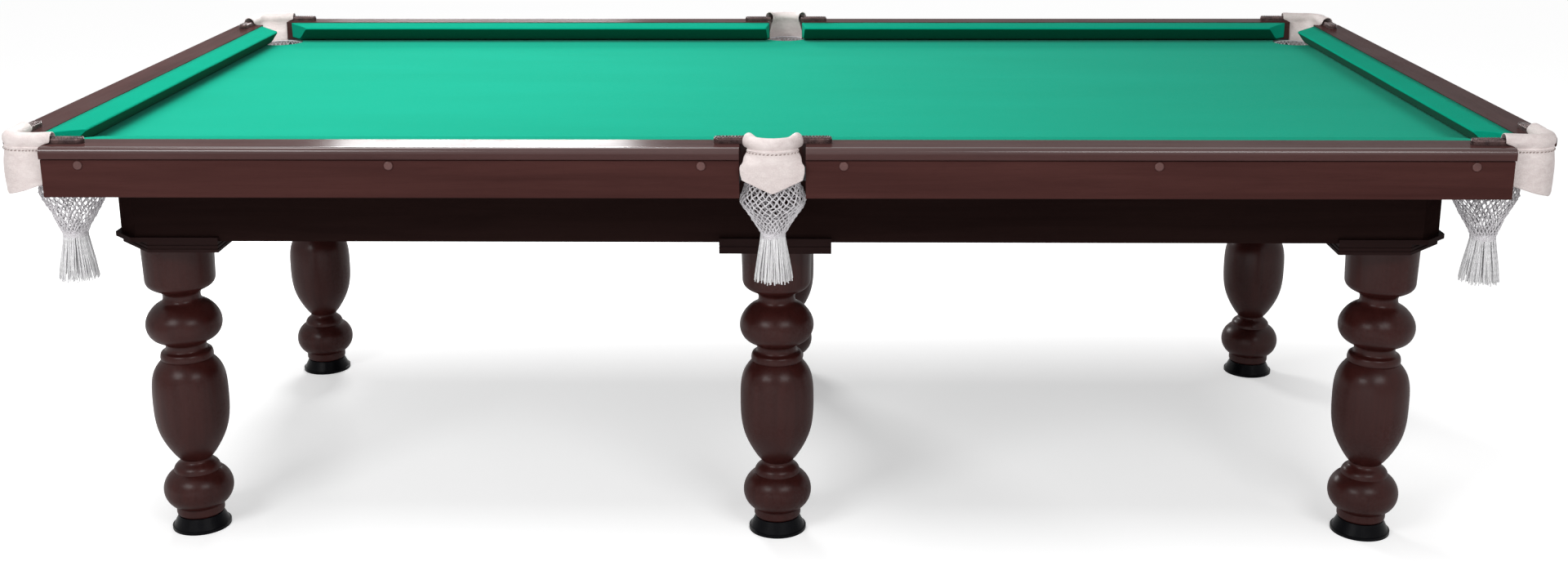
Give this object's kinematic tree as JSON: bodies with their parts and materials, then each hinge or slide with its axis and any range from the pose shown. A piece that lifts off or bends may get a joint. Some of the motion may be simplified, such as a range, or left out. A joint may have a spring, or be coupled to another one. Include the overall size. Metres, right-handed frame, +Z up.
{
  "type": "pool table",
  "caption": "Pocket billiard table with slate bed, cloth-covered cushions, turned wooden legs on levelling feet, and leather-covered pocket irons with hanging nets.",
  "frame": {"origin": "on the floor under the middle of the bed", "axes": "+X along the table's length, +Y towards its back long side, +Z up"},
  "size_m": [2.79, 1.543, 0.869],
  "materials": {
    "lacquered_wood": "satin brown lacquer",
    "dark_wood": "near-black satin lacquer",
    "plain_wood": "bare wood",
    "green_cloth": "napped wool cloth",
    "rubber": "plain",
    "slate": "honed stone",
    "steel": "zinc",
    "pocket_iron": "dark bronze lacquer",
    "pocket_leather": "smooth pale leather",
    "net_cord": "white cotton cord",
    "black_plastic": "moulded"
  },
  "bodies": {
    "table": {"rail_left_end": "lacquered_wood", "rail_front_left": "lacquered_wood", "rail_back_left": "lacquered_wood", "rail_right_end": "lacquered_wood", "rail_front_right": "lacquered_wood", "rail_back_right": "lacquered_wood", "cushion_rubbers": "rubber", "cushion_cloths": "green_cloth", "bed_cloth": "green_cloth", "fascia_boards": "lacquered_wood", "fascia_screws": "steel", "rail_bolts": "steel", "slate_screws": "steel", "leg_bolts": "steel", "leg_inserts": "steel", "fascia_screw_caps": "lacquered_wood", "slate_left": "slate", "slate_middle": "slate", "slate_right": "slate", "frame_long_beams": "dark_wood", "frame_end_beams": "dark_wood", "frame_cross_beams": "plain_wood", "frame_leg_blocks": "plain_wood", "leg_plates": "lacquered_wood", "leg_front_left": "lacquered_wood", "pocket_iron_front_left": "pocket_iron", "pocket_leather_front_left": "pocket_leather", "pocket_net_front_left": "net_cord", "leg_front_middle": "lacquered_wood", "pocket_iron_front_middle": "pocket_iron", "pocket_leather_front_middle": "pocket_leather", "pocket_net_front_middle": "net_cord", "leg_front_right": "lacquered_wood", "pocket_iron_front_right": "pocket_iron", "pocket_leather_front_right": "pocket_leather", "pocket_net_front_right": "net_cord", "leg_back_left": "lacquered_wood", "pocket_iron_back_left": "pocket_iron", "pocket_leather_back_left": "pocket_leather", "pocket_net_back_left": "net_cord", "leg_back_middle": "lacquered_wood", "pocket_iron_back_middle": "pocket_iron", "pocket_leather_back_middle": "pocket_leather", "pocket_net_back_middle": "net_cord", "leg_back_right": "lacquered_wood", "pocket_iron_back_right": "pocket_iron", "pocket_leather_back_right": "pocket_leather", "pocket_net_back_right": "net_cord"},
    "foot_pad_front_left": {"foot_pad_front_left": "black_plastic"},
    "foot_stud_front_left": {"foot_stud_front_left": "steel"},
    "foot_pad_front_middle": {"foot_pad_front_middle": "black_plastic"},
    "foot_stud_front_middle": {"foot_stud_front_middle": "steel"},
    "foot_pad_front_right": {"foot_pad_front_right": "black_plastic"},
    "foot_stud_front_right": {"foot_stud_front_right": "steel"},
    "foot_pad_back_left": {"foot_pad_back_left": "black_plastic"},
    "foot_stud_back_left": {"foot_stud_back_left": "steel"},
    "foot_pad_back_middle": {"foot_pad_back_middle": "black_plastic"},
    "foot_stud_back_middle": {"foot_stud_back_middle": "steel"},
    "foot_pad_back_right": {"foot_pad_back_right": "black_plastic"},
    "foot_stud_back_right": {"foot_stud_back_right": "steel"}
  },
  "joints": [
    {"name": "foot_slide_front_left", "type": "slide", "parent": "table", "child": "foot_pad_front_left", "axis": [0, 0, 1], "range_m": [-0.025, 0]},
    {"name": "stud_turn_front_left", "type": "hinge", "parent": "foot_pad_front_left", "child": "foot_stud_front_left", "pos_m": [-1.167, -0.459, 0.014], "axis": [0, 0, 1], "range_deg": [-4500, 0]},
    {"name": "foot_slide_front_middle", "type": "slide", "parent": "table", "child": "foot_pad_front_middle", "axis": [0, 0, 1], "range_m": [-0.025, 0]},
    {"name": "stud_turn_front_middle", "type": "hinge", "parent": "foot_pad_front_middle", "child": "foot_stud_front_middle", "pos_m": [0, -0.459, 0.014], "axis": [0, 0, 1], "range_deg": [-4500, 0]},
    {"name": "foot_slide_front_right", "type": "slide", "parent": "table", "child": "foot_pad_front_right", "axis": [0, 0, 1], "range_m": [-0.025, 0]},
    {"name": "stud_turn_front_right", "type": "hinge", "parent": "foot_pad_front_right", "child": "foot_stud_front_right", "pos_m": [1.167, -0.459, 0.014], "axis": [0, 0, 1], "range_deg": [-4500, 0]},
    {"name": "foot_slide_back_left", "type": "slide", "parent": "table", "child": "foot_pad_back_left", "axis": [0, 0, 1], "range_m": [-0.025, 0]},
    {"name": "stud_turn_back_left", "type": "hinge", "parent": "foot_pad_back_left", "child": "foot_stud_back_left", "pos_m": [-1.167, 0.459, 0.014], "axis": [0, 0, 1], "range_deg": [-4500, 0]},
    {"name": "foot_slide_back_middle", "type": "slide", "parent": "table", "child": "foot_pad_back_middle", "axis": [0, 0, 1], "range_m": [-0.025, 0]},
    {"name": "stud_turn_back_middle", "type": "hinge", "parent": "foot_pad_back_middle", "child": "foot_stud_back_middle", "pos_m": [0, 0.459, 0.014], "axis": [0, 0, 1], "range_deg": [-4500, 0]},
    {"name": "foot_slide_back_right", "type": "slide", "parent": "table", "child": "foot_pad_back_right", "axis": [0, 0, 1], "range_m": [-0.025, 0]},
    {"name": "stud_turn_back_right", "type": "hinge", "parent": "foot_pad_back_right", "child": "foot_stud_back_right", "pos_m": [1.167, 0.459, 0.014], "axis": [0, 0, 1], "range_deg": [-4500, 0]}
  ],
  "couplings": [
    {"joint": "stud_turn_front_left", "follows": "foot_slide_front_left", "rad_per_m": 3141.6},
    {"joint": "stud_turn_front_middle", "follows": "foot_slide_front_middle", "rad_per_m": 3141.6},
    {"joint": "stud_turn_front_right", "follows": "foot_slide_front_right", "rad_per_m": 3141.6},
    {"joint": "stud_turn_back_left", "follows": "foot_slide_back_left", "rad_per_m": 3141.6},
    {"joint": "stud_turn_back_middle", "follows": "foot_slide_back_middle", "rad_per_m": 3141.6},
    {"joint": "stud_turn_back_right", "follows": "foot_slide_back_right", "rad_per_m": 3141.6}
  ]
}
